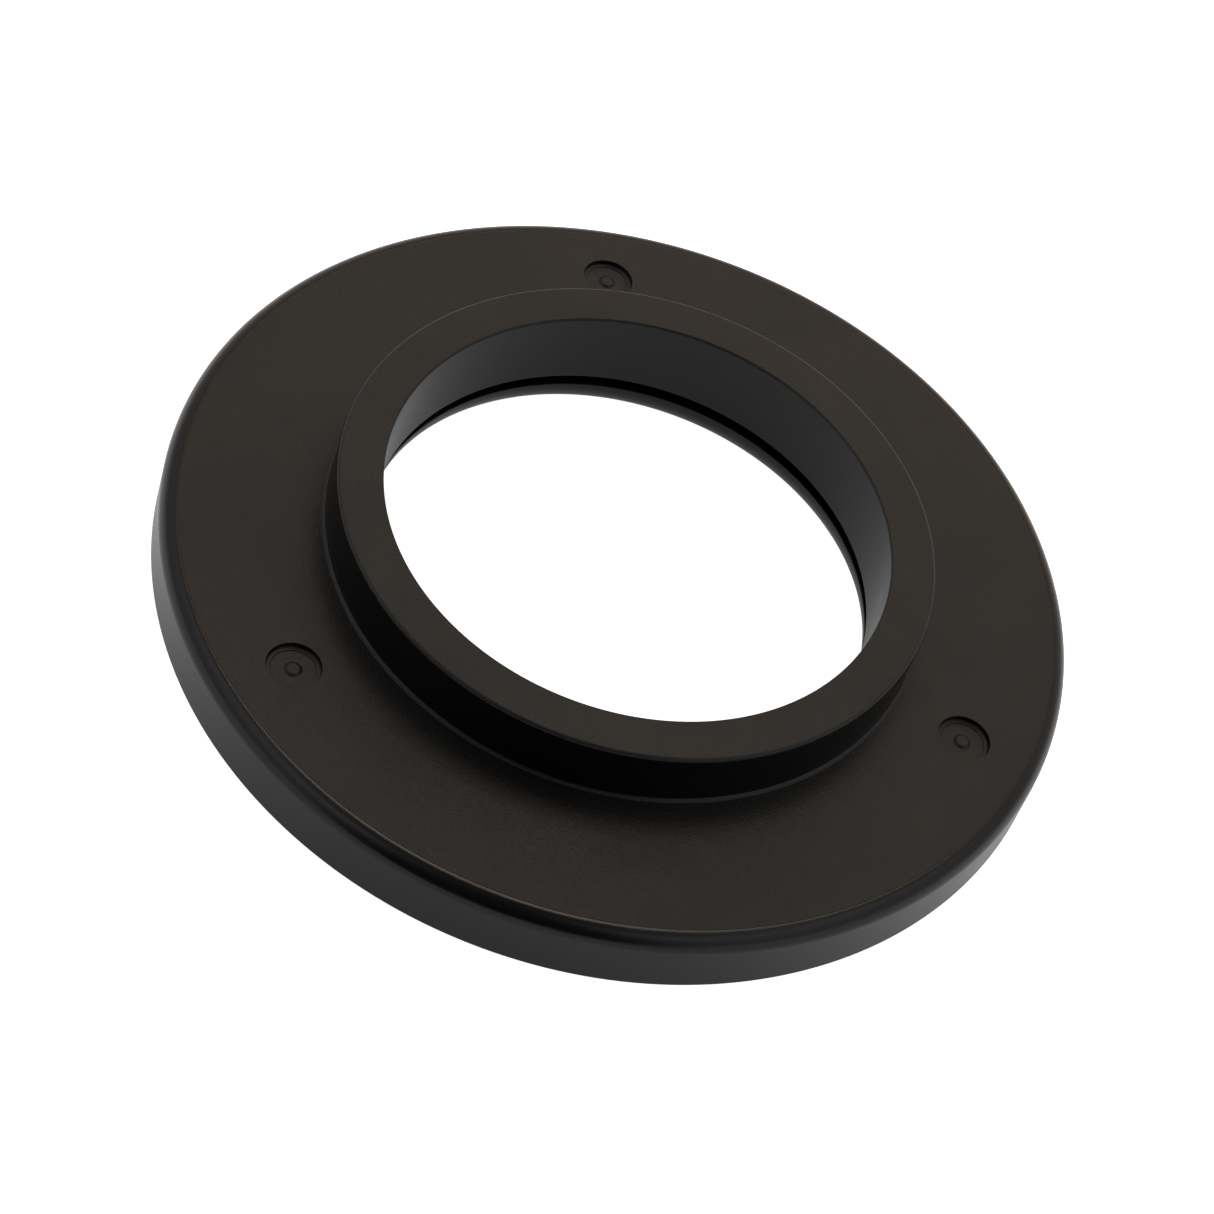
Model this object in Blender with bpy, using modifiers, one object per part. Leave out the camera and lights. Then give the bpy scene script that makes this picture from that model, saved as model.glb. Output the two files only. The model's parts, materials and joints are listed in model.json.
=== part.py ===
"""Strut mount bearing: a moulded cap that turns on a moulded carrier ring over 36 caged steel balls.

The origin is on the turning axis at the carrier's seat face, and +Z points to the cap's hub.
Lengths are in metres. An outline is a list of corners (radius, height, rounding), and it runs
down the outer side, in along the bottom, up the inner side and out along the top.
"""

import math

import bmesh
import bpy
from mathutils import Matrix, Vector

MM = 0.001
GAP = 0.3 * MM                      # clearance between pieces that bear on each other

# Cap, the half that sits in the car's strut tower
OUTER_RADIUS = 52.65 * MM           # at the foot of the skirt
DRAFT = 0.1 * MM                    # how far a moulded wall leans over its height
SKIRT_FOOT = 1.1 * MM
SKIRT_FOOT_ROUND = 0.5 * MM
PLATE_TOP = 9.0 * MM
PLATE_THICKNESS = 1.7 * MM
PLATE_EDGE_ROUND = 1.8 * MM
PLATE_INSIDE_ROUND = 0.6 * MM
HUB_RADIUS = 34.3 * MM
HUB_TOP = 16.05 * MM
HUB_TOP_ROUND = 0.6 * MM
HUB_FOOT_ROUND = 0.8 * MM
HUB_ROOF = 1.9 * MM                 # left over the groove inside the hub
BORE_RADIUS = 29.05 * MM
BORE_TOP_ROUND = 0.3 * MM
SLEEVE_FOOT = 6.25 * MM
SLEEVE_FOOT_ROUND = 0.2 * MM
WALL = 1.6 * MM
SKIRT_INSIDE = 50.5 * MM
SNAP_BEAD = 0.9 * MM                # how far the skirt's bead reaches in
BEAD_SLOPE = 0.4 * MM               # its ramps, one towards the foot and one towards the plate
BEAD_LOW = 0.9 * MM                 # its flat, measured up from the skirt's foot
BEAD_HIGH = 1.4 * MM

# Moulding gates in the plate's top face
GATE_COUNT = 3
GATE_CIRCLE = 43.3 * MM
GATE_RADIUS = 3.05 * MM
GATE_DEPTH = 0.7 * MM
GATE_NUB_RADIUS = 1.0 * MM
GATE_NUB_TOP_RADIUS = 0.75 * MM
GATE_NUB_HEIGHT = 0.35 * MM
CUT_PAST = 0.01 * MM                # how far a cutter runs past the face that it opens
FIRST_GATE = math.radians(90)

# Carrier ring, the half that sits on the spring
LIP_RADIUS = 29.4 * MM
LIP_TOP = 4.5 * MM
LIP_EDGE_ROUND = 0.15 * MM
LIP_CURL = 4.4 * MM                 # outer radius of the curl from the lip to the seat face
CARRIER_WALL = 1.6 * MM             # of the lip and the floor
CARRIER_RADIUS = 49.2 * MM
CARRIER_RIM = 1.8 * MM              # thickness of the upright wall outside the balls
CARRIER_TOP = 4.4 * MM
CARRIER_FOOT_ROUND = 0.5 * MM
HOOK_REACH = 0.8 * MM               # how far the hook stands out under the skirt's bead
HOOK_CHAMFER = 0.6 * MM
HOOK_DROPS = (0.8 * MM, 1.2 * MM, 1.6 * MM)     # below the top: its flat's two ends, then its root

# Ball set
BALL_COUNT = 36
BALL_RADIUS = 1.75 * MM
BALL_CLEARANCE = 0.2 * MM           # ball to raceway
PITCH_RADIUS = 42.0 * MM
BALL_HEIGHT = 4.45 * MM             # centre of the balls above the seat face
RACE_HALF_WIDTH = 3.4 * MM
RACE_THICKNESS = 1.1 * MM
RACE_FLAT = 1.45 * MM               # ball centre to the flat beside the raceway
RACEWAY_STEPS = 5
RIB_WIDTH = 1.0 * MM                # of the ribs that hold the races in place
RIB_HEIGHT = 1.1 * MM
CAGE_HALF_WIDTH = 2.7 * MM
CAGE_HALF_HEIGHT = 0.75 * MM
POCKET_RADIUS = 2.0 * MM


# Rubber seals: a side's corners are (out from the seal's inner radius, up from its foot)
OUTER_SEAL = {
    "radius": CARRIER_RADIUS - CARRIER_RIM,
    "foot": CARRIER_TOP + GAP,
    "outer_side": [(1.2 * MM, 0.7 * MM)],
    "inner_side": [(0, 0.9 * MM), (0.6 * MM, 1.1 * MM)],
    "tip": (1.5 * MM, 2.0 * MM),
}
INNER_SEAL = {
    "radius": 34.6 * MM,
    "foot": CARRIER_WALL + GAP,
    "outer_side": [(1.6 * MM, 1.3 * MM), (2.3 * MM, 1.1 * MM)],
    "inner_side": [(0, 1.1 * MM), (0.7 * MM, 1.4 * MM)],
    "tip": (0.2 * MM, 0.8 * MM),
}

TURNING_STEPS = 60
GATE_STEPS = 20
POCKET_STEPS = 12
BALL_STEPS = 10
BALL_RINGS = 6
FULL_TURN = 2 * math.pi


# Scene and materials

def clear_scene():
    for item in list(bpy.data.objects):
        bpy.data.objects.remove(item, do_unlink=True)


def collection_named(name):
    collection = bpy.data.collections.new(name)
    bpy.context.scene.collection.children.link(collection)
    return collection


def material_of(name, colour, roughness, metallic=0.0):
    material = bpy.data.materials.new(name)
    material.use_nodes = True
    shader = material.node_tree.nodes["Principled BSDF"]
    shader.inputs["Base Color"].default_value = (*colour, 1.0)
    shader.inputs["Roughness"].default_value = roughness
    shader.inputs["Metallic"].default_value = metallic
    material.diffuse_color = (*colour, 1.0)
    return material


def add_object(name, mesh, material, collection, parent=None):
    made = bpy.data.objects.new(name, mesh)
    if not mesh.materials:
        mesh.materials.append(material)
    mesh.shade_smooth()
    mesh.set_sharp_from_angle(angle=math.radians(35))
    collection.objects.link(made)
    made.parent = parent
    return made


def add_cutter(name, form):
    mesh = bpy.data.meshes.new(name)
    form.to_mesh(mesh)
    form.free()
    cutter = bpy.data.objects.new(name, mesh)
    cutter.hide_render = True
    cutter.display_type = "WIRE"
    cutters.objects.link(cutter)
    return cutter


def add_boolean(target, tool, operation):
    boolean = target.modifiers.new(operation.title(), "BOOLEAN")
    boolean.operation = operation
    boolean.solver = "EXACT"
    boolean.object = tool


def add_axis(name):
    axis = bpy.data.objects.new(name, None)
    parts.objects.link(axis)
    return axis


# Turned shapes

def arc_steps(rounding):
    if rounding < 0.4 * MM:
        return 1
    return 2 if rounding < 1.5 * MM else 3


def rounded_outline(corners):
    """The outline's points, with each corner that has a rounding turned into a tangent arc."""
    points = []
    for index, (radius, height, rounding) in enumerate(corners):
        corner = Vector((radius, height))
        if not rounding:
            points.append(corner)
            continue
        back = (Vector(corners[index - 1][:2]) - corner).normalized()
        ahead = (Vector(corners[(index + 1) % len(corners)][:2]) - corner).normalized()
        half = back.angle(ahead) / 2
        centre = corner + (back + ahead).normalized() * rounding / math.sin(half)
        start = corner + back * rounding / math.tan(half) - centre
        turn = start.angle_signed(corner + ahead * rounding / math.tan(half) - centre)
        steps = arc_steps(rounding)
        for step in range(steps + 1):
            angle = -turn * step / steps
            points.append(centre + Matrix.Rotation(angle, 2) @ start)
    return points


def plain_outline(corners):
    return rounded_outline([(radius, height, 0) for radius, height in corners])


def turned(name, outline, material, parent):
    """A closed ring: the outline swept once round the Z axis."""
    form = bmesh.new()
    ring = [form.verts.new((point.x, 0, point.y)) for point in outline]
    for index, vertex in enumerate(ring):
        form.edges.new((vertex, ring[(index + 1) % len(ring)]))
    mesh = bpy.data.meshes.new(name)
    form.to_mesh(mesh)
    form.free()
    made = add_object(name, mesh, material, parts, parent)
    screw = made.modifiers.new("Turn", "SCREW")
    screw.axis = "Z"
    screw.angle = FULL_TURN
    screw.steps = TURNING_STEPS
    screw.render_steps = TURNING_STEPS
    screw.use_merge_vertices = True
    screw.merge_threshold = 0.00001
    screw.use_smooth_shade = True
    return made


# Cap

def cap_outline():
    underside = PLATE_TOP - PLATE_THICKNESS
    rib_foot = underside - RIB_HEIGHT
    inner_rib = PITCH_RADIUS - RACE_HALF_WIDTH - GAP
    outer_rib = PITCH_RADIUS + RACE_HALF_WIDTH + GAP
    bead = SKIRT_INSIDE - SNAP_BEAD
    groove_top = HUB_TOP - HUB_ROOF
    outside = [
        (HUB_RADIUS, HUB_TOP, HUB_TOP_ROUND),
        (HUB_RADIUS + DRAFT, PLATE_TOP, HUB_FOOT_ROUND),
        (OUTER_RADIUS - DRAFT, PLATE_TOP, PLATE_EDGE_ROUND),
        (OUTER_RADIUS, SKIRT_FOOT, SKIRT_FOOT_ROUND),
    ]
    snap_bead = [
        (bead + BEAD_SLOPE, SKIRT_FOOT, 0),
        (bead, SKIRT_FOOT + BEAD_LOW, 0),
        (bead, SKIRT_FOOT + BEAD_HIGH, 0),
        (SKIRT_INSIDE, SKIRT_FOOT + BEAD_HIGH + BEAD_SLOPE, 0),
    ]
    race_seat = [
        (SKIRT_INSIDE, underside, PLATE_INSIDE_ROUND),
        (outer_rib + RIB_WIDTH, underside, 0),
        (outer_rib + RIB_WIDTH, rib_foot, 0),
        (outer_rib, rib_foot, 0),
        (outer_rib, underside, 0),
        (inner_rib, underside, 0),
        (inner_rib, rib_foot, 0),
        (inner_rib - RIB_WIDTH, rib_foot, 0),
        (inner_rib - RIB_WIDTH, underside, 0),
    ]
    hub_inside = [
        (HUB_RADIUS - WALL, underside, 0),
        (HUB_RADIUS - WALL - DRAFT, groove_top, 0),
        (BORE_RADIUS + WALL + DRAFT, groove_top, 0),
        (BORE_RADIUS + WALL, SLEEVE_FOOT, 0),
        (BORE_RADIUS, SLEEVE_FOOT, SLEEVE_FOOT_ROUND),
        (BORE_RADIUS, HUB_TOP, BORE_TOP_ROUND),
    ]
    return rounded_outline(outside + snap_bead + race_seat + hub_inside)


def gate_forms(radius, top_radius, low, high):
    """One upright drum at each gate, all in one mesh."""
    form = bmesh.new()
    for gate in range(GATE_COUNT):
        angle = FIRST_GATE + FULL_TURN * gate / GATE_COUNT
        place = Vector((GATE_CIRCLE, 0, (low + high) / 2))
        place.rotate(Matrix.Rotation(angle, 3, "Z"))
        bmesh.ops.create_cone(
            form,
            cap_ends=True,
            segments=GATE_STEPS,
            radius1=radius,
            radius2=top_radius,
            depth=high - low,
            matrix=Matrix.Translation(place),
        )
    return form


def make_cap(axis):
    cap = turned("upper_cap", cap_outline(), black_plastic, axis)
    floor = PLATE_TOP - GATE_DEPTH
    recess = gate_forms(GATE_RADIUS - DRAFT, GATE_RADIUS, floor, PLATE_TOP + CUT_PAST)
    add_boolean(cap, add_cutter("gate_recess_cutter", recess), "DIFFERENCE")
    nub = gate_forms(GATE_NUB_RADIUS, GATE_NUB_TOP_RADIUS, floor - GAP, floor + GATE_NUB_HEIGHT)
    add_boolean(cap, add_cutter("gate_nub_form", nub), "UNION")


# Carrier ring

def carrier_outline():
    rib_top = CARRIER_WALL + RIB_HEIGHT
    inner_rib = PITCH_RADIUS - RACE_HALF_WIDTH - GAP
    outer_rib = PITCH_RADIUS + RACE_HALF_WIDTH + GAP
    wall_inside = CARRIER_RADIUS - CARRIER_RIM
    hook_high, hook_low, hook_root = (CARRIER_TOP - drop for drop in HOOK_DROPS)
    return rounded_outline([
        (CARRIER_RADIUS - HOOK_CHAMFER, CARRIER_TOP, 0),
        (CARRIER_RADIUS + HOOK_REACH, hook_high, 0),
        (CARRIER_RADIUS + HOOK_REACH, hook_low, 0),
        (CARRIER_RADIUS, hook_root, 0),
        (CARRIER_RADIUS, 0, CARRIER_FOOT_ROUND),
        (LIP_RADIUS, 0, LIP_CURL),
        (LIP_RADIUS, LIP_TOP, 0),
        (LIP_RADIUS + CARRIER_WALL, LIP_TOP, LIP_EDGE_ROUND),
        (LIP_RADIUS + CARRIER_WALL, CARRIER_WALL, LIP_CURL - CARRIER_WALL),
        (inner_rib - RIB_WIDTH, CARRIER_WALL, 0),
        (inner_rib - RIB_WIDTH, rib_top, 0),
        (inner_rib, rib_top, 0),
        (inner_rib, CARRIER_WALL, 0),
        (outer_rib, CARRIER_WALL, 0),
        (outer_rib, rib_top, 0),
        (wall_inside, rib_top, 0),
        (wall_inside, CARRIER_TOP, 0),
    ])


# Races, cage and balls

def raceway(side):
    """Points of the groove in a race, from its inner edge out; side is -1 below the balls, 1 above."""
    radius = BALL_RADIUS + BALL_CLEARANCE
    half_angle = math.acos(RACE_FLAT / radius)
    points = []
    for step in range(RACEWAY_STEPS + 1):
        angle = half_angle * (2 * step / RACEWAY_STEPS - 1)
        points.append((
            PITCH_RADIUS + radius * math.sin(angle),
            BALL_HEIGHT + side * radius * math.cos(angle),
        ))
    return points


def race_outline(side):
    flat = BALL_HEIGHT + side * RACE_FLAT
    back = flat + side * RACE_THICKNESS
    inner = PITCH_RADIUS - RACE_HALF_WIDTH
    outer = PITCH_RADIUS + RACE_HALF_WIDTH
    if side > 0:
        corners = [(outer, back), (outer, flat), *reversed(raceway(side)), (inner, flat), (inner, back)]
    else:
        corners = [(outer, flat), (outer, back), (inner, back), (inner, flat), *raceway(side)]
    return plain_outline(corners)


def make_cage(axis):
    low, high = BALL_HEIGHT - CAGE_HALF_HEIGHT, BALL_HEIGHT + CAGE_HALF_HEIGHT
    inner, outer = PITCH_RADIUS - CAGE_HALF_WIDTH, PITCH_RADIUS + CAGE_HALF_WIDTH
    outline = plain_outline([(outer, high), (outer, low), (inner, low), (inner, high)])
    cage = turned("ball_cage", outline, cage_nylon, axis)
    form = bmesh.new()
    for ball in range(BALL_COUNT):
        bmesh.ops.create_cone(
            form,
            cap_ends=True,
            segments=POCKET_STEPS,
            radius1=POCKET_RADIUS,
            radius2=POCKET_RADIUS,
            depth=4 * CAGE_HALF_HEIGHT,
            matrix=ball_place(ball),
        )
    add_boolean(cage, add_cutter("ball_pocket_cutter", form), "DIFFERENCE")


def ball_place(ball):
    """Where a ball sits, turned so that its own X axis, about which it rolls, points outwards."""
    turn = Matrix.Rotation(FULL_TURN * ball / BALL_COUNT, 4, "Z")
    return turn @ Matrix.Translation((PITCH_RADIUS, 0, BALL_HEIGHT))


def make_balls(axis):
    form = bmesh.new()
    bmesh.ops.create_uvsphere(form, u_segments=BALL_STEPS, v_segments=BALL_RINGS, radius=BALL_RADIUS)
    mesh = bpy.data.meshes.new("ball")
    form.to_mesh(mesh)
    form.free()
    for ball in range(BALL_COUNT):
        made = add_object(f"ball_{ball + 1:02d}", mesh, ball_steel, parts, axis)
        made.matrix_world = ball_place(ball)


# Seals

def seal_outline(seal):
    """A foot with a thin lip that leans to its tip, just under the cap's plate."""
    tip = PLATE_TOP - PLATE_THICKNESS - GAP
    tip_inner, tip_outer = seal["tip"]
    width = seal["outer_side"][-1][0]
    steps = [*seal["outer_side"], (width, 0), (0, 0), *seal["inner_side"]]
    corners = [(seal["radius"] + out, seal["foot"] + up) for out, up in steps]
    return plain_outline([
        (seal["radius"] + tip_outer, tip),
        *corners,
        (seal["radius"] + tip_inner, tip),
    ])


clear_scene()
parts = collection_named("strut_mount_bearing")
cutters = collection_named("cutters")

black_plastic = material_of("black_plastic", (0.018, 0.016, 0.015), 0.42)
cage_nylon = material_of("cage_nylon", (0.62, 0.58, 0.47), 0.5)
race_steel = material_of("race_steel", (0.56, 0.56, 0.57), 0.3, metallic=1.0)
ball_steel = material_of("ball_steel", (0.66, 0.66, 0.68), 0.08, metallic=1.0)
seal_rubber = material_of("seal_rubber", (0.012, 0.012, 0.013), 0.7)

carrier_axis = add_axis("carrier_axis")
cap_axis = add_axis("cap_axis")
cage_axis = add_axis("cage_axis")

turned("lower_ring", carrier_outline(), black_plastic, carrier_axis)
turned("lower_race", race_outline(-1), race_steel, carrier_axis)
turned("inner_seal", seal_outline(INNER_SEAL), seal_rubber, carrier_axis)
turned("outer_seal", seal_outline(OUTER_SEAL), seal_rubber, carrier_axis)
make_cap(cap_axis)
turned("upper_race", race_outline(1), race_steel, cap_axis)
make_cage(cage_axis)
make_balls(cage_axis)
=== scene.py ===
# Strut mount bearing: a moulded cap turns on a moulded carrier ring over caged steel balls.
# Every ring is drawn as a half section in metres, where it belongs in the frame, and spun round the Z axis.
import json
import math

import bmesh
import bpy
from mathutils import Matrix, Vector

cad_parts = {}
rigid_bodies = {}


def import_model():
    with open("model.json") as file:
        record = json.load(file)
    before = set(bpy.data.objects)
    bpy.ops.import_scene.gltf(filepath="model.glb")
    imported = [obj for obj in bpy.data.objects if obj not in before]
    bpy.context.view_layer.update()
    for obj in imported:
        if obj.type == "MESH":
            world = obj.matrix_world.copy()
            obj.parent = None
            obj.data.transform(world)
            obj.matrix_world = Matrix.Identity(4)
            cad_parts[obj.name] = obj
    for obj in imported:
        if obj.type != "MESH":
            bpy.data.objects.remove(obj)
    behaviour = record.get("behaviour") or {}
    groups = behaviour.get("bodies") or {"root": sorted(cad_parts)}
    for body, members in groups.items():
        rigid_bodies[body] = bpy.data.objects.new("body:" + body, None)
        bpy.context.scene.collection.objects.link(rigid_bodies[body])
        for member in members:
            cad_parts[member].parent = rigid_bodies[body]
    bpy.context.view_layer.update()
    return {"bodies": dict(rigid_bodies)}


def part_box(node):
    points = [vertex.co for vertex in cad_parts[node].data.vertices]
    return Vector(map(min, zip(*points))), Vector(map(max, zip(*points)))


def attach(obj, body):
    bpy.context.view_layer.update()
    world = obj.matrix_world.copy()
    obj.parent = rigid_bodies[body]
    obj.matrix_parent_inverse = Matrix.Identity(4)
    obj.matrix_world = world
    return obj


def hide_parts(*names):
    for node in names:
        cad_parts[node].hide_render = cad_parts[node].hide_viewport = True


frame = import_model()
print("frame loaded")

mm = 0.001
fullTurn = 2 * math.pi
capLow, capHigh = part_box("upper_cap")
carrierLow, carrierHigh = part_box("lower_ring")
ballLow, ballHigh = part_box("ball_01")
outerRadius = capHigh.y
plateTop = 9.0 * mm
plateUnder = plateTop - 1.7 * mm
ballHeight = (ballLow.z + ballHigh.z) / 2
ballCount = sum(name.startswith("ball_") for name in frame["bodies"])
pitchRadius = 42.0 * mm
raceHalfWidth = 3.4 * mm
raceGap = 0.3 * mm                                                    # between a race and the ribs beside it
softRound = 0.12 * mm                                                 # on every small moulded corner


# selection and finishing, as by hand

def deselectAll():
    if bpy.context.object and bpy.context.object.mode != "OBJECT":
        bpy.ops.object.mode_set(mode="OBJECT")
    bpy.ops.object.select_all(action="DESELECT")


def selectOnly(*pieces):
    deselectAll()
    for piece in pieces:
        piece.select_set(True)
    bpy.context.view_layer.objects.active = pieces[0]


def pickVerts(piece, wanted):
    form = bmesh.from_edit_mesh(piece.data)
    for vert in form.verts:
        vert.select = wanted(vert.co)
    form.select_flush_mode()
    bmesh.update_edit_mesh(piece.data)


def arcSegments(rounding):
    return 4 if rounding < 0.3 * mm else 8 if rounding < 1.5 * mm else 12


def drawSection(name, corners):
    # one vertex, extruded from corner to corner and closed: each corner is (radius, height, rounding)
    deselectAll()
    bpy.ops.mesh.primitive_plane_add(size=mm, location=(0, 0, 0))
    section = bpy.context.object
    section.name = name
    bpy.ops.object.mode_set(mode="EDIT")
    bpy.ops.mesh.select_mode(type="VERT")
    bpy.ops.mesh.select_all(action="SELECT")
    bpy.ops.mesh.merge(type="CENTER")
    places = [Vector((radius, 0, height)) for radius, height, rounding in corners]
    bpy.ops.transform.translate(value=places[0])
    for here, there in zip(places, places[1:]):
        bpy.ops.mesh.extrude_region_move(TRANSFORM_OT_translate={"value": there - here})
    near = 0.01 * mm
    pickVerts(section, lambda co: min((co - places[0]).length, (co - places[-1]).length) < near)
    bpy.ops.mesh.edge_face_add()
    for index, (radius, height, rounding) in enumerate(corners):
        if rounding:
            corner = places[index]
            back = places[index - 1] - corner
            ahead = places[(index + 1) % len(places)] - corner
            pickVerts(section, lambda co: (co - corner).length < near)
            bpy.ops.mesh.bevel(
                offset=rounding / math.tan(back.angle(ahead) / 2), segments=arcSegments(rounding),
                profile=0.5, affect="VERTICES", clamp_overlap=False,
            )
    return section


def spinSection(section, steps):
    bpy.ops.mesh.select_all(action="SELECT")
    bpy.ops.mesh.spin(steps=steps, angle=fullTurn, center=(0, 0, 0), axis=(0, 0, 1), use_auto_merge=True)
    bpy.ops.mesh.select_all(action="SELECT")
    bpy.ops.mesh.remove_doubles(threshold=0.001 * mm)
    bpy.ops.mesh.normals_make_consistent(inside=False)
    bpy.ops.object.mode_set(mode="OBJECT")
    return section


def turnedPiece(name, corners, steps=240):
    return spinSection(drawSection(name, corners), steps)


def turnAbout(angle):
    # the operator turns the other way round
    bpy.ops.transform.rotate(value=-angle, orient_axis="Z", center_override=(0, 0, 0))


def cutAway(piece, cutter):
    selectOnly(piece)
    bpy.ops.object.modifier_add(type="BOOLEAN")
    boolean = piece.modifiers[-1]
    boolean.operation = "DIFFERENCE"
    boolean.solver = "EXACT"
    boolean.object = cutter
    bpy.ops.object.modifier_apply(modifier=boolean.name)
    bpy.data.objects.remove(cutter, do_unlink=True)


def bevelEdges(piece, width, angle):
    selectOnly(piece)
    bpy.ops.object.modifier_add(type="BEVEL")
    bevel = piece.modifiers[-1]
    bevel.width = width
    bevel.segments = 2
    bevel.limit_method = "ANGLE"
    bevel.angle_limit = math.radians(angle)
    bpy.ops.object.modifier_apply(modifier=bevel.name)


def smoothFinish(piece, angle=32):
    selectOnly(piece)
    bpy.ops.object.shade_smooth_by_angle(angle=math.radians(angle))
    bpy.ops.object.modifier_add(type="WEIGHTED_NORMAL")
    weighting = piece.modifiers[-1]
    weighting.keep_sharp = True
    weighting.weight = 100
    bpy.ops.object.modifier_apply(modifier=weighting.name)


def settle(piece, material, body, node):
    piece.data.materials.clear()
    piece.data.materials.append(material)
    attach(piece, body)
    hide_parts(node)


# node helpers

def newGroup(name, inputs, outputs):
    group = bpy.data.node_groups.new(name, "ShaderNodeTree")
    for label, kind, value in inputs:
        socket = group.interface.new_socket(name=label, in_out="INPUT", socket_type=kind)
        if value is not None:
            socket.default_value = value
    for label in outputs:
        group.interface.new_socket(name=label, in_out="OUTPUT", socket_type="NodeSocketFloat")
    return group, group.nodes.new("NodeGroupInput"), group.nodes.new("NodeGroupOutput")


def addNode(tree, kind, values=None, **settings):
    node = tree.nodes.new(kind)
    for label, value in settings.items():
        setattr(node, label, value)
    for label, value in (values or {}).items():
        node.inputs[label].default_value = value
    return node


def addMath(tree, operation, first, second=0.0):
    node = addNode(tree, "ShaderNodeMath", operation=operation)
    for socket, value in zip(node.inputs, (first, second)):
        if isinstance(value, (int, float)):
            socket.default_value = value
        else:
            tree.links.new(value, socket)
    return node.outputs[0]


def addRange(tree, value, fromLow, fromHigh, toLow=0.0, toHigh=1.0):
    node = addNode(tree, "ShaderNodeMapRange", {
        "From Min": fromLow, "From Max": fromHigh, "To Min": toLow, "To Max": toHigh,
    }, interpolation_type="SMOOTHSTEP")
    tree.links.new(value, node.inputs["Value"])
    return node.outputs["Result"]


def flatLength(tree, across, along):
    # how far a place is from the Z axis
    squares = [addMath(tree, "MULTIPLY", part, part) for part in (across, along)]
    return addMath(tree, "SQRT", addMath(tree, "ADD", *squares))


def mouldGrainGroup():
    # fine spark-eroded texture of a mould face, with slow change over the surface
    group, given, out = newGroup(
        "mouldGrain",
        [("Vector", "NodeSocketVector", None), ("Grain Scale", "NodeSocketFloat", 4200.0),
         ("Patch Scale", "NodeSocketFloat", 60.0)],
        ["Height", "Patches"],
    )
    link = group.links.new
    fine = addNode(group, "ShaderNodeTexNoise", {"Detail": 3.0, "Roughness": 0.6})
    pits = addNode(group, "ShaderNodeTexVoronoi", {"Randomness": 1.0})
    patches = addNode(group, "ShaderNodeTexNoise", {"Detail": 8.0, "Roughness": 0.62, "Distortion": 0.3})
    for texture, scale in ((fine, "Grain Scale"), (pits, "Grain Scale"), (patches, "Patch Scale")):
        link(given.outputs["Vector"], texture.inputs["Vector"])
        link(given.outputs[scale], texture.inputs["Scale"])
    pitDepth = addMath(group, "MULTIPLY", pits.outputs["Distance"], 0.6)
    link(addMath(group, "ADD", fine.outputs["Fac"], pitDepth), out.inputs["Height"])
    link(patches.outputs["Fac"], out.inputs["Patches"])
    return group


def turnedMarksGroup():
    # hairline rings left by grinding, round the Z axis, and the distance from that axis
    group, given, out = newGroup(
        "turnedMarks",
        [("Vector", "NodeSocketVector", None), ("Line Scale", "NodeSocketFloat", 9000.0)],
        ["Height", "Radius"],
    )
    link = group.links.new
    split = addNode(group, "ShaderNodeSeparateXYZ")
    link(given.outputs["Vector"], split.inputs["Vector"])
    radius = flatLength(group, split.outputs["X"], split.outputs["Y"])
    rings = addNode(group, "ShaderNodeCombineXYZ")
    link(radius, rings.inputs["X"])
    link(split.outputs["Z"], rings.inputs["Y"])
    lines = addNode(group, "ShaderNodeTexNoise", {"Detail": 2.0, "Roughness": 0.5})
    link(rings.outputs["Vector"], lines.inputs["Vector"])
    link(given.outputs["Line Scale"], lines.inputs["Scale"])
    link(lines.outputs["Fac"], out.inputs["Height"])
    link(radius, out.inputs["Radius"])
    return group


def newMaterial(name, shaderValues):
    material = bpy.data.materials.new(name)
    material.use_nodes = True
    tree = material.node_tree
    shader = tree.nodes["Principled BSDF"]
    for label, value in shaderValues.items():
        shader.inputs[label].default_value = value
    place = addNode(tree, "ShaderNodeTexCoord")
    return material, tree, shader, place


def addGroup(tree, group, place, values=None):
    node = addNode(tree, "ShaderNodeGroup", node_tree=group)
    for label, value in (values or {}).items():
        node.inputs[label].default_value = value
    tree.links.new(place.outputs["Object"], node.inputs["Vector"])
    return node


def addBump(tree, shader, height, distance):
    bump = addNode(tree, "ShaderNodeBump", {"Strength": 1.0, "Distance": distance})
    tree.links.new(height, bump.inputs["Height"])
    tree.links.new(bump.outputs["Normal"], shader.inputs["Normal"])


def mixColour(tree, mask, first, second):
    mix = addNode(tree, "ShaderNodeMix", data_type="RGBA")
    mix.inputs["A"].default_value = (*first, 1)
    mix.inputs["B"].default_value = (*second, 1)
    tree.links.new(mask, mix.inputs["Factor"])
    return mix.outputs["Result"]


mouldGrain = mouldGrainGroup()
turnedMarks = turnedMarksGroup()


def addGrain(tree, place, look):
    return addGroup(tree, mouldGrain, place, {
        "Grain Scale": look["grainScale"], "Patch Scale": look["patchScale"],
    })


def addPatches(tree, grain, low, high):
    return addRange(tree, grain.outputs["Patches"], 0.3, 0.7, low, high)


def mottled(name, shaderValues, look):
    # one colour that drifts into another in patches, with a roughness that follows and a fine grain
    material, tree, shader, place = newMaterial(name, shaderValues)
    grain = addGrain(tree, place, look)
    drift = addRange(tree, grain.outputs["Patches"], *look["drift"])
    tree.links.new(mixColour(tree, drift, look["colour"], look["driftColour"]), shader.inputs["Base Color"])
    tree.links.new(addPatches(tree, grain, *look["roughness"]), shader.inputs["Roughness"])
    addBump(tree, shader, grain.outputs["Height"], look["grainDepth"])
    return material


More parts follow.
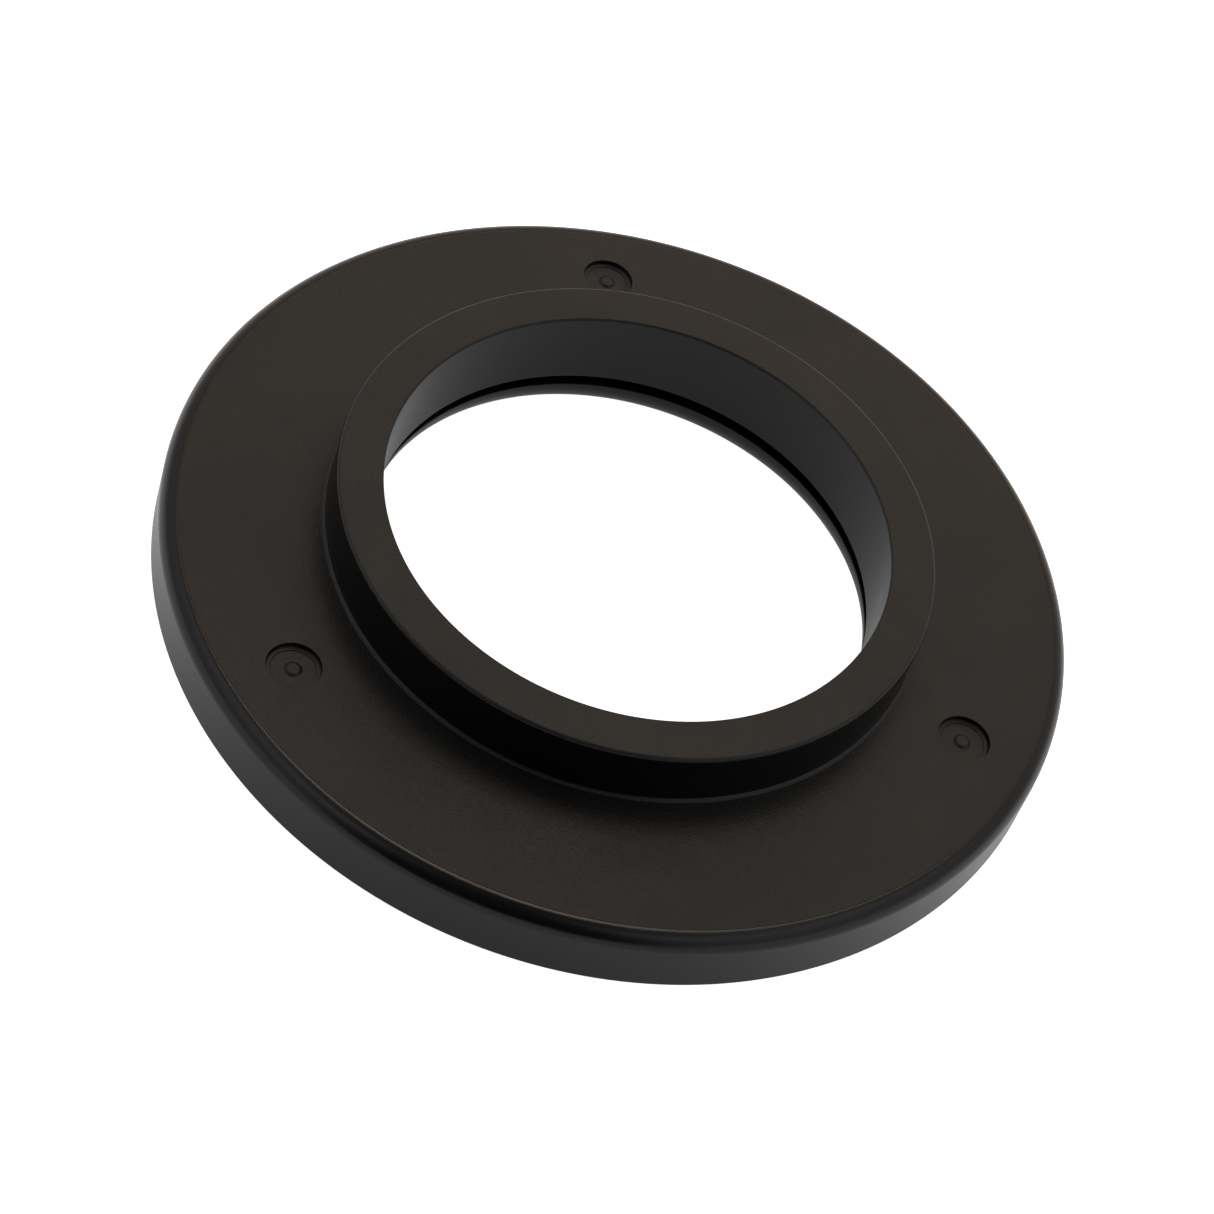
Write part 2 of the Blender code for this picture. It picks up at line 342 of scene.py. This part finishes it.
def blackPlastic(name, look):
    # faces that look up carry the mould texture, walls are smoother and darker
    material, tree, shader, place = newMaterial(name, {
        "IOR": look["ior"], "Specular IOR Level": look["specular"],
    })
    link = tree.links.new
    grain = addGrain(tree, place, look)
    facing = addNode(tree, "ShaderNodeSeparateXYZ")
    link(place.outputs["Normal"], facing.inputs["Vector"])
    level = addRange(tree, facing.outputs["Z"], *look["levelFrom"])
    marks = addGroup(tree, turnedMarks, place)
    edge = look["texturedTo"]
    inside = addRange(tree, marks.outputs["Radius"], edge + look["fadeOut"], edge - look["fadeIn"])
    textured = addMath(tree, "MULTIPLY", level, inside)
    link(mixColour(tree, textured, look["wallColour"], look["faceColour"]), shader.inputs["Base Color"])
    base = addRange(tree, textured, 0.0, 1.0, look["wallRoughness"], look["faceRoughness"])
    patches = addPatches(tree, grain, -look["patchRoughness"], look["patchRoughness"])
    link(addMath(tree, "ADD", base, patches), shader.inputs["Roughness"])
    depth = addRange(tree, textured, 0.0, 1.0, look["wallGrain"], 1.0)
    addBump(tree, shader, addMath(tree, "MULTIPLY", grain.outputs["Height"], depth), look["grainDepth"])
    return material


# cap: plate, hub sleeve, skirt and three gates

capSizes = {
    "hubRadius": 34.3 * mm, "hubRound": 0.45 * mm, "hubFootRound": 0.5 * mm,
    "boreRadius": 29.05 * mm, "boreRound": 0.3 * mm, "sleeveFoot": 6.25 * mm, "sleeveFootRound": 0.2 * mm,
    "wall": 1.6 * mm, "grooveRoof": 1.9 * mm, "grooveRound": 0.4 * mm, "draft": 0.1 * mm,
    "edgeRound": 1.8 * mm, "skirtInside": 50.5 * mm, "skirtFootRound": 0.5 * mm, "skirtRoofRound": 0.6 * mm,
    "beadDepth": 0.9 * mm, "beadSlope": 0.4 * mm, "beadLow": 0.9 * mm, "beadHigh": 1.4 * mm,
    "beadEnd": 1.8 * mm, "ribWidth": 1.0 * mm, "ribDepth": 1.1 * mm,
}
capLook = {
    "ior": 1.45, "specular": 0.5, "grainScale": 4200.0, "patchScale": 60.0, "levelFrom": (0.3, 0.7),
    "wallColour": (0.002, 0.002, 0.0022), "faceColour": (0.004, 0.0031, 0.0024),
    "texturedTo": 50.62 * mm, "fadeOut": 0.15 * mm, "fadeIn": 0.05 * mm,
    "wallRoughness": 0.22, "faceRoughness": 0.42, "patchRoughness": 0.035,
    "wallGrain": 0.15, "grainDepth": 0.045 * mm,
}


def capSection():
    size = capSizes
    foot, top, hub, bore = capLow.z, capHigh.z, size["hubRadius"], size["boreRadius"]
    skirt, bead = size["skirtInside"], size["skirtInside"] - size["beadDepth"]
    wall, draft, rib = size["wall"], size["draft"], size["ribWidth"]
    innerRib, outerRib = pitchRadius - raceHalfWidth - raceGap, pitchRadius + raceHalfWidth + raceGap
    ribFoot, grooveTop = plateUnder - size["ribDepth"], top - size["grooveRoof"]
    return [
        (hub, top, size["hubRound"]),
        (hub + draft, plateTop, size["hubFootRound"]),
        (outerRadius - draft, plateTop, size["edgeRound"]),
        (outerRadius, foot, size["skirtFootRound"]),
        (bead + size["beadSlope"], foot, softRound),
        (bead, foot + size["beadLow"], softRound),
        (bead, foot + size["beadHigh"], softRound),
        (skirt, foot + size["beadEnd"], softRound),
        (skirt, plateUnder, size["skirtRoofRound"]),
        (outerRib + rib, plateUnder, softRound),
        (outerRib + rib, ribFoot, softRound),
        (outerRib, ribFoot, softRound),
        (outerRib, plateUnder, 0),
        (innerRib, plateUnder, 0),
        (innerRib, ribFoot, softRound),
        (innerRib - rib, ribFoot, softRound),
        (innerRib - rib, plateUnder, softRound),
        (hub - wall, plateUnder, softRound),
        (hub - wall - draft, grooveTop, size["grooveRound"]),
        (bore + wall + draft, grooveTop, size["grooveRound"]),
        (bore + wall, size["sleeveFoot"], softRound),
        (bore, size["sleeveFoot"], size["sleeveFootRound"]),
        (bore, top, size["boreRound"]),
    ]


gateSizes = {
    "count": 3, "first": math.radians(90), "circle": 43.3 * mm, "steps": 64,
    "radius": 2.95 * mm, "wallSlope": 0.1 * mm, "rimRound": 0.04 * mm,
    "ledgeDepth": 0.58 * mm, "ledgeRadius": 2.5 * mm, "ledgeRound": 0.1 * mm, "ledgeEdge": 0.03 * mm,
    "depth": 0.7 * mm, "floorRound": 0.05 * mm,
    "nubRadius": 1.0 * mm, "nubTaper": 0.7, "nubHeight": 0.22 * mm, "nubFootRound": 0.12 * mm,
    "nubRound": 0.15 * mm, "craterRadius": 0.4 * mm, "craterRound": 0.1 * mm, "craterDepth": 0.06 * mm,
}


def gateCutter(angle):
    # what is cut away above the recess: the nub is left standing, and the rim flares into a small round
    size = gateSizes
    floor, ledge, flare = plateTop - size["depth"], plateTop - size["ledgeDepth"], size["rimRound"]
    mouth, nubTop = size["radius"] + size["wallSlope"], floor + size["nubHeight"]
    cutter = drawSection("gateCutter", [
        (mouth + flare, plateTop + flare, 0),
        (mouth + flare, plateTop, 0),
        (mouth, plateTop, flare * 0.98),                              # just short of the next corner
        (size["radius"], ledge, size["ledgeRound"]),
        (size["ledgeRadius"] + size["ledgeEdge"], ledge, size["ledgeEdge"]),
        (size["ledgeRadius"], floor, size["floorRound"]),
        (size["nubRadius"], floor, size["nubFootRound"]),
        (size["nubTaper"] * size["nubRadius"], nubTop, size["nubRound"]),
        (size["craterRadius"], nubTop, size["craterRound"]),
        (0, nubTop - size["craterDepth"], 0),
        (0, plateTop + flare, 0),
    ])
    spinSection(cutter, size["steps"])
    cutter.location = Matrix.Rotation(angle, 3, "Z") @ Vector((size["circle"], 0, 0))
    selectOnly(cutter)
    bpy.ops.object.transform_apply(location=True, rotation=False, scale=False)
    return cutter


def makeCap():
    cap = turnedPiece("bearingCap", capSection())
    for gate in range(gateSizes["count"]):
        cutAway(cap, gateCutter(gateSizes["first"] + fullTurn * gate / gateSizes["count"]))
    smoothFinish(cap)
    settle(cap, blackPlastic("capPlastic", capLook), "cap", "upper_cap")
    print("cap made")


# carrier ring: lip, curl, seat face and snap hook

carrierSizes = {
    "lipRadius": 29.4 * mm, "lipRound": 0.1 * mm, "curl": 4.38 * mm, "wall": 1.6 * mm,
    "radius": 49.2 * mm, "outerWall": 1.8 * mm, "footRound": 0.5 * mm,
    "top": 4.4 * mm, "hookSlope": 0.6 * mm, "hookHigh": 0.8 * mm, "hookLow": 1.2 * mm, "hookEnd": 1.6 * mm,
    "ribTop": 2.7 * mm, "ribWidth": 1.0 * mm,
}
carrierLook = {
    **capLook, "wallColour": (0.003, 0.0028, 0.0032), "faceColour": (0.004, 0.0035, 0.0034),
    "texturedTo": 60 * mm, "wallRoughness": 0.24, "faceRoughness": 0.38,
}


def carrierSection():
    size = carrierSizes
    radius, top, wall, lip = size["radius"], size["top"], size["wall"], size["lipRadius"]
    hook, lipTop, rim, ribTop = carrierHigh.y, carrierHigh.z, size["lipRound"], size["ribTop"]
    innerRib, outerRib = pitchRadius - raceHalfWidth - raceGap, pitchRadius + raceHalfWidth + raceGap
    return [
        (radius - size["hookSlope"], top, softRound),
        (hook, top - size["hookHigh"], softRound),
        (hook, top - size["hookLow"], softRound),
        (radius, top - size["hookEnd"], softRound),
        (radius, carrierLow.z, size["footRound"]),
        (lip, carrierLow.z, size["curl"]),
        (lip, lipTop, rim),
        (lip + wall, lipTop, rim),
        (lip + wall, wall, size["curl"] - wall),
        (innerRib - size["ribWidth"], wall, softRound),
        (innerRib - size["ribWidth"], ribTop, softRound),
        (innerRib, ribTop, softRound),
        (innerRib, wall, 0),
        (outerRib, wall, 0),
        (outerRib, ribTop, softRound),
        (radius - size["outerWall"], ribTop, softRound),
        (radius - size["outerWall"], top, softRound),
    ]


def makeCarrier():
    carrier = turnedPiece("carrierRing", carrierSection())
    smoothFinish(carrier)
    settle(carrier, blackPlastic("carrierPlastic", carrierLook), "carrier", "lower_ring")
    print("carrier made")


# races: pressed steel washers with a ground groove for the balls

raceSizes = {
    "grooveRadius": 1.95 * mm, "flat": 1.45 * mm, "grooveSteps": 18, "edgeRound": 0.15 * mm, "turnSteps": 180,
    "smoothAngle": 24,
}
raceLook = {
    "colour": (0.50, 0.50, 0.515), "tint": (0.44, 0.42, 0.40), "tintFrom": (0.45, 0.75),
    "grainScale": 900.0, "patchScale": 140.0, "roughness": 0.3, "trackRoughness": 0.12,
    "trackFrom": 0.54 * mm, "trackTo": 0.9 * mm, "lineScale": 14000.0, "lineRoughness": 0.05,
    "lineDepth": 0.004 * mm,
}


def raceSteel(look):
    # turned all over, with a track that the balls have polished
    material, tree, shader, place = newMaterial("raceSteel", {"Metallic": 1.0})
    link = tree.links.new
    marks = addGroup(tree, turnedMarks, place, {"Line Scale": look["lineScale"]})
    tinted = addRange(tree, addGrain(tree, place, look).outputs["Patches"], *look["tintFrom"])
    link(mixColour(tree, tinted, look["colour"], look["tint"]), shader.inputs["Base Color"])
    offTrack = addMath(tree, "ABSOLUTE", addMath(tree, "SUBTRACT", marks.outputs["Radius"], pitchRadius))
    worn = addRange(tree, offTrack, look["trackFrom"], look["trackTo"],
                    look["trackRoughness"], look["roughness"])
    lines = addRange(tree, marks.outputs["Height"], 0.3, 0.7, -look["lineRoughness"], look["lineRoughness"])
    link(addMath(tree, "ADD", worn, lines), shader.inputs["Roughness"])
    addBump(tree, shader, marks.outputs["Height"], look["lineDepth"])
    return material


def raceSection(node, side):
    # side is -1 for the race below the balls and 1 for the race above
    size = raceSizes
    low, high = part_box(node)
    inner, outer = 2 * pitchRadius - high.x, high.x
    flat = ballHeight + side * size["flat"]
    back = high.z if side > 0 else low.z
    reach = math.acos(size["flat"] / size["grooveRadius"])
    groove = []
    for step in range(size["grooveSteps"] + 1):
        angle = reach * (2 * step / size["grooveSteps"] - 1)
        groove.append((pitchRadius + size["grooveRadius"] * math.sin(angle),
                       ballHeight + side * size["grooveRadius"] * math.cos(angle), 0))
    rim = size["edgeRound"]
    return [(outer, back, rim), (inner, back, rim), (inner, flat, rim), *groove, (outer, flat, rim)]


def makeRaces():
    steel = raceSteel(raceLook)
    for node, body, side in (("upper_race", "cap", 1), ("lower_race", "carrier", -1)):
        race = turnedPiece(node.replace("_race", "Race"), raceSection(node, side), raceSizes["turnSteps"])
        smoothFinish(race, raceSizes["smoothAngle"])
        settle(race, steel, body, node)
    print("races made")


# cage: nylon ring with a pocket for each ball

cageSizes = {
    "edgeRound": 0.25 * mm, "turnSteps": 180, "pocketRadius": 2.0 * mm, "pocketDepth": 4 * mm,
    "pocketEdge": 0.12 * mm, "pocketEdgeAngle": 50, "pocketSides": 40,
}
cageLook = {
    "colour": (0.66, 0.60, 0.46), "driftColour": (0.58, 0.51, 0.37), "drift": (0.35, 0.7),
    "roughness": (0.34, 0.50), "grainScale": 5200.0, "patchScale": 180.0, "grainDepth": 0.006 * mm,
    "ior": 1.53, "subsurface": 0.15, "subsurfaceScale": 0.6 * mm,
}


def pocketCutter():
    deselectAll()
    bpy.ops.mesh.primitive_cylinder_add(
        vertices=cageSizes["pocketSides"], radius=cageSizes["pocketRadius"], depth=cageSizes["pocketDepth"],
        location=(pitchRadius, 0, ballHeight))
    first = bpy.context.object
    pockets = [first]
    for ball in range(1, ballCount):
        selectOnly(first)
        bpy.ops.object.duplicate(linked=False)
        pockets.append(bpy.context.object)
        turnAbout(fullTurn * ball / ballCount)
    selectOnly(*pockets)
    bpy.ops.object.join()
    bpy.ops.object.transform_apply(location=True, rotation=True, scale=True)
    return bpy.context.object


def makeCage():
    low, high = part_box("ball_cage")
    outer, inner, rim = high.x, 2 * pitchRadius - high.x, cageSizes["edgeRound"]
    cage = turnedPiece("ballCage", [
        (outer, high.z, rim), (outer, low.z, rim), (inner, low.z, rim), (inner, high.z, rim),
    ], cageSizes["turnSteps"])
    cutAway(cage, pocketCutter())
    bevelEdges(cage, cageSizes["pocketEdge"], cageSizes["pocketEdgeAngle"])
    smoothFinish(cage)
    nylon = mottled("cageNylon", {
        "IOR": cageLook["ior"], "Subsurface Weight": cageLook["subsurface"],
        "Subsurface Scale": cageLook["subsurfaceScale"],
    }, cageLook)
    settle(cage, nylon, "cage", "ball_cage")
    print("cage made")


# balls: one modelled from a subdivided cube, then a copy in each pocket

ballSizes = {"radius": 0.999 * (ballHigh.z - ballLow.z) / 2, "cuts": 9}
ballLook = {
    "colour": (0.62, 0.62, 0.64), "driftColour": (0.57, 0.565, 0.56), "drift": (0.4, 0.7),
    "roughness": (0.06, 0.11), "grainScale": 6000.0, "patchScale": 500.0, "grainDepth": 0.0008 * mm,
}


def firstBall():
    deselectAll()
    bpy.ops.mesh.primitive_cube_add(size=2 * ballSizes["radius"], location=(pitchRadius, 0, ballHeight))
    ball = bpy.context.object
    bpy.ops.object.mode_set(mode="EDIT")
    bpy.ops.mesh.select_all(action="SELECT")
    bpy.ops.mesh.subdivide(number_cuts=ballSizes["cuts"])
    bpy.ops.transform.tosphere(value=1)
    bpy.ops.object.mode_set(mode="OBJECT")
    reach = max(vert.co.length for vert in ball.data.vertices)
    bpy.ops.transform.resize(value=[ballSizes["radius"] / reach] * 3)
    bpy.ops.object.transform_apply(location=False, rotation=False, scale=True)
    bpy.ops.object.shade_smooth()
    return ball


def makeBalls():
    steel = mottled("ballSteel", {"Metallic": 1.0}, ballLook)
    first = firstBall()
    for ball in range(ballCount):
        selectOnly(first)
        bpy.ops.object.duplicate(linked=False)
        copy = bpy.context.object
        turnAbout(fullTurn * ball / ballCount)
        bpy.ops.object.transform_apply(location=True, rotation=True, scale=True)
        number = f"{ball + 1:02d}"
        copy.name = "ball" + number
        settle(copy, steel, "ball_" + number, "ball_" + number)
    bpy.data.objects.remove(first, do_unlink=True)
    print("balls made")


# seals: rubber rings with a lip that leans up to the cap's plate

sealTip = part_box("outer_seal")[1].z
sealSizes = {"edgeRound": 0.15 * mm, "tipRound": 0.08 * mm, "turnSteps": 180}
outerSealSizes = {
    "radius": 47.4 * mm, "foot": 4.7 * mm, "width": 1.2 * mm,
    "outsideHeight": 0.7 * mm, "insideHeight": 0.9 * mm,
    "lipRoot": 0.6 * mm, "lipRootHeight": 1.1 * mm, "tipInside": 1.5 * mm, "tipOutside": 2.0 * mm,
}
innerSealSizes = {
    "radius": 34.6 * mm, "foot": 1.9 * mm, "width": 2.3 * mm, "shoulder": 1.1 * mm,
    "lipInside": 0.7 * mm, "lipInsideHeight": 1.4 * mm, "lipOutside": 1.6 * mm, "lipOutsideHeight": 1.3 * mm,
    "tipInside": 0.2 * mm, "tipOutside": 0.8 * mm,
}
sealLook = {
    "colour": (0.012, 0.012, 0.0125), "driftColour": (0.022, 0.022, 0.021), "drift": (0.4, 0.7),
    "roughness": (0.52, 0.72), "grainScale": 3600.0, "patchScale": 110.0, "grainDepth": 0.01 * mm,
    "ior": 1.5, "sheen": 0.1, "sheenRoughness": 0.6,
}


def outerSealSection():
    size, soft, fine = outerSealSizes, sealSizes["edgeRound"], sealSizes["tipRound"]
    inner, foot = size["radius"], size["foot"]
    outer = inner + size["width"]
    return [
        (inner + size["tipOutside"], sealTip, fine),
        (outer, foot + size["outsideHeight"], soft),
        (outer, foot, soft),
        (inner, foot, soft),
        (inner, foot + size["insideHeight"], soft),
        (inner + size["lipRoot"], foot + size["lipRootHeight"], soft),
        (inner + size["tipInside"], sealTip, fine),
    ]


def innerSealSection():
    size, soft, fine = innerSealSizes, sealSizes["edgeRound"], sealSizes["tipRound"]
    inner, foot = size["radius"], size["foot"]
    outer, shoulder = inner + size["width"], foot + size["shoulder"]
    return [
        (inner + size["tipOutside"], sealTip, fine),
        (inner + size["lipOutside"], foot + size["lipOutsideHeight"], soft),
        (outer, shoulder, soft),
        (outer, foot, soft),
        (inner, foot, soft),
        (inner, shoulder, soft),
        (inner + size["lipInside"], foot + size["lipInsideHeight"], soft),
        (inner + size["tipInside"], sealTip, fine),
    ]


def makeSeals():
    rubber = mottled("sealRubber", {
        "IOR": sealLook["ior"], "Sheen Weight": sealLook["sheen"],
        "Sheen Roughness": sealLook["sheenRoughness"],
    }, sealLook)
    for name, node, corners in (("outerSeal", "outer_seal", outerSealSection()),
                                ("innerSeal", "inner_seal", innerSealSection())):
        seal = turnedPiece(name, corners, sealSizes["turnSteps"])
        smoothFinish(seal)
        settle(seal, rubber, "carrier", node)
    print("seals made")


# camera, floor and soft light

cameraView = {
    "azimuth": math.radians(-18.63), "elevation": math.radians(48.43), "roll": math.radians(20.72),
    "distance": 348.1 * mm, "sideStep": 2.22 * mm, "drop": 6.42 * mm, "lens": 91.4, "sensor": 36.0,
}
studio = {
    "keyElevation": math.radians(60), "keyDistance": 1.2, "keyWidth": 0.4, "keyHeight": 0.44,
    "keyPower": 1.36, "keyColour": (1.0, 0.86, 0.75), "behindColour": (1.0, 0.84, 0.71), "skyStrength": 2.0,
    "behind": [(0.0, 0.42), (0.4, 0.38), (0.75, 0.25), (0.9, 0.08), (1.0, 0.02)],
    "beside": [(0.0, 0.45), (0.35, 0.22), (0.66, 0.26), (0.88, 0.38), (1.0, 0.06)],
    "before": [(0.0, 0.05), (0.3, 0.01), (0.8, 0.03), (1.0, 0.03)],
    "endBlend": (-0.3, 0.3), "sideBlend": (0.4, 0.8),
}
# the paper's glow is painted light: extra glow behind the object, painted shade under it
paper = {
    "colour": 0.8, "roughness": 0.9, "width": 6, "gap": 0.05 * mm,
    "glow": 0.25, "paintedGlowBehind": 0.42, "paintedGlowFrom": -60 * mm, "paintedGlowTo": 20 * mm,
    "paintedShadeFrom": 50 * mm, "paintedShadeTo": 56 * mm, "lensGlow": 0.75,
}


def makeCamera():
    view = cameraView
    side = Vector((math.cos(view["azimuth"]), math.sin(view["azimuth"]), 0))
    back = Matrix.Rotation(view["azimuth"], 3, "Z") @ Vector(
        (0, -math.cos(view["elevation"]), math.sin(view["elevation"])))
    turn = Matrix.Rotation(view["roll"], 3, back)
    side, up = turn @ side, turn @ back.cross(side)
    spot = Vector((0, 0, plateTop)) + back * view["distance"] - side * view["sideStep"] - up * view["drop"]
    camera = bpy.data.cameras.new("studioCamera")
    camera.lens = view["lens"]
    camera.sensor_width = view["sensor"]
    camera.clip_start = 10 * mm
    holder = bpy.data.objects.new("studioCamera", camera)
    bpy.context.scene.collection.objects.link(holder)
    axes = Matrix((side, up, back)).transposed().to_4x4()
    holder.matrix_world = Matrix.Translation(spot) @ axes
    bpy.context.scene.camera = holder


def turnedToLens(tree, vector):
    # the vector's parts across, along and above the camera's own heading
    turn = addNode(tree, "ShaderNodeVectorRotate", {"Angle": -cameraView["azimuth"]}, rotation_type="Z_AXIS")
    tree.links.new(vector, turn.inputs["Vector"])
    split = addNode(tree, "ShaderNodeSeparateXYZ")
    tree.links.new(turn.outputs["Vector"], split.inputs["Vector"])
    return [split.outputs[axis] for axis in "XYZ"]


def makeFloor():
    # white paper whose glow holds painted light: brighter behind the object, painted shade under it, and near
    # white for the lens
    deselectAll()
    bpy.ops.mesh.primitive_plane_add(size=paper["width"], location=(0, 0, carrierLow.z - paper["gap"]))
    floor = bpy.context.object
    floor.name = "floor"
    pale = paper["colour"]
    material, tree, shader, place = newMaterial("palePaper", {
        "Base Color": (pale, pale, pale, 1), "Roughness": paper["roughness"], "Specular IOR Level": 0.0,
        "Emission Color": (1, 1, 1, 1),
    })
    along = turnedToLens(tree, place.outputs["Object"])[1]
    radius = addGroup(tree, turnedMarks, place).outputs["Radius"]
    # painted shade: the extra glow fades out on the paper under the object
    outsidePaintedShade = addRange(tree, radius, paper["paintedShadeFrom"], paper["paintedShadeTo"])
    # painted light: extra glow on the paper behind the object
    paintedLightBehind = addRange(tree, along, paper["paintedGlowFrom"], paper["paintedGlowTo"], 0.0, paper["paintedGlowBehind"])
    ray = addNode(tree, "ShaderNodeLightPath")
    lensGlow = addMath(tree, "MULTIPLY", ray.outputs["Is Camera Ray"], paper["lensGlow"])
    glow = addMath(tree, "ADD", addMath(tree, "MULTIPLY", outsidePaintedShade, paintedLightBehind), paper["glow"])
    tree.links.new(addMath(tree, "ADD", glow, lensGlow), shader.inputs["Emission Strength"])
    floor.data.materials.append(material)


def skyRamp(tree, height, steps, tint=(1.0, 1.0, 1.0)):
    ramp = addNode(tree, "ShaderNodeValToRGB")
    stops = ramp.color_ramp.elements
    while len(stops) < len(steps):
        stops.new(0.5)
    for stop, (place, bright) in zip(stops, steps):
        stop.position, stop.color = place, (*(bright * part for part in tint), 1)
    tree.links.new(height, ramp.inputs["Fac"])
    return ramp.outputs["Color"]


def mixRamps(tree, mask, first, second):
    mix = addNode(tree, "ShaderNodeMix", data_type="RGBA")
    for value, label in ((mask, "Factor"), (first, "A"), (second, "B")):
        tree.links.new(value, mix.inputs[label])
    return mix.outputs["Result"]


def makeSky():
    # a studio seen as a sky: bright walls behind and at the sides, a dark wall behind the camera
    world = bpy.data.worlds.new("studioSky")
    bpy.context.scene.world = world
    world.use_nodes = True
    tree = world.node_tree
    link = tree.links.new
    sky = tree.nodes["Background"]
    sky.inputs["Strength"].default_value = studio["skyStrength"]
    place = addNode(tree, "ShaderNodeTexCoord")
    across, along, height = turnedToLens(tree, place.outputs["Generated"])
    level = flatLength(tree, across, along)
    sideways = addMath(tree, "DIVIDE", addMath(tree, "ABSOLUTE", across), level)
    backwards = addMath(tree, "DIVIDE", along, level)
    ends = mixRamps(tree, addRange(tree, backwards, *studio["endBlend"]),
                    skyRamp(tree, height, studio["before"]),
                    skyRamp(tree, height, studio["behind"], studio["behindColour"]))
    allRound = mixRamps(tree, addRange(tree, sideways, *studio["sideBlend"]),
                        ends, skyRamp(tree, height, studio["beside"]))
    link(allRound, sky.inputs["Color"])
    plain = addNode(tree, "ShaderNodeBackground", {"Color": (1, 1, 1, 1)})
    ray = addNode(tree, "ShaderNodeLightPath")
    mix = addNode(tree, "ShaderNodeMixShader")
    link(ray.outputs["Is Camera Ray"], mix.inputs["Fac"])
    link(sky.outputs["Background"], mix.inputs[1])
    link(plain.outputs["Background"], mix.inputs[2])
    link(mix.outputs["Shader"], tree.nodes["World Output"].inputs["Surface"])


def makeSoftbox():
    light = bpy.data.lights.new("softbox", "AREA")
    light.shape = "RECTANGLE"
    light.size, light.size_y = studio["keyWidth"], studio["keyHeight"]
    light.energy = studio["keyPower"]
    light.color = studio["keyColour"]
    holder = bpy.data.objects.new("softbox", light)
    bpy.context.scene.collection.objects.link(holder)
    heading = cameraView["azimuth"] + math.radians(90)                # straight behind, as the camera sees it
    tilt = studio["keyElevation"]
    away = Vector((math.cos(heading) * math.cos(tilt), math.sin(heading) * math.cos(tilt), math.sin(tilt)))
    holder.location = away * studio["keyDistance"]
    holder.rotation_euler = away.to_track_quat("Z", "Y").to_euler()
    holder.visible_camera = False


makeCap()
makeCarrier()
makeRaces()
makeCage()
makeBalls()
makeSeals()
makeCamera()
makeFloor()
makeSky()
makeSoftbox()
bpy.context.scene.view_settings.view_transform = "Standard"
print("stage made")
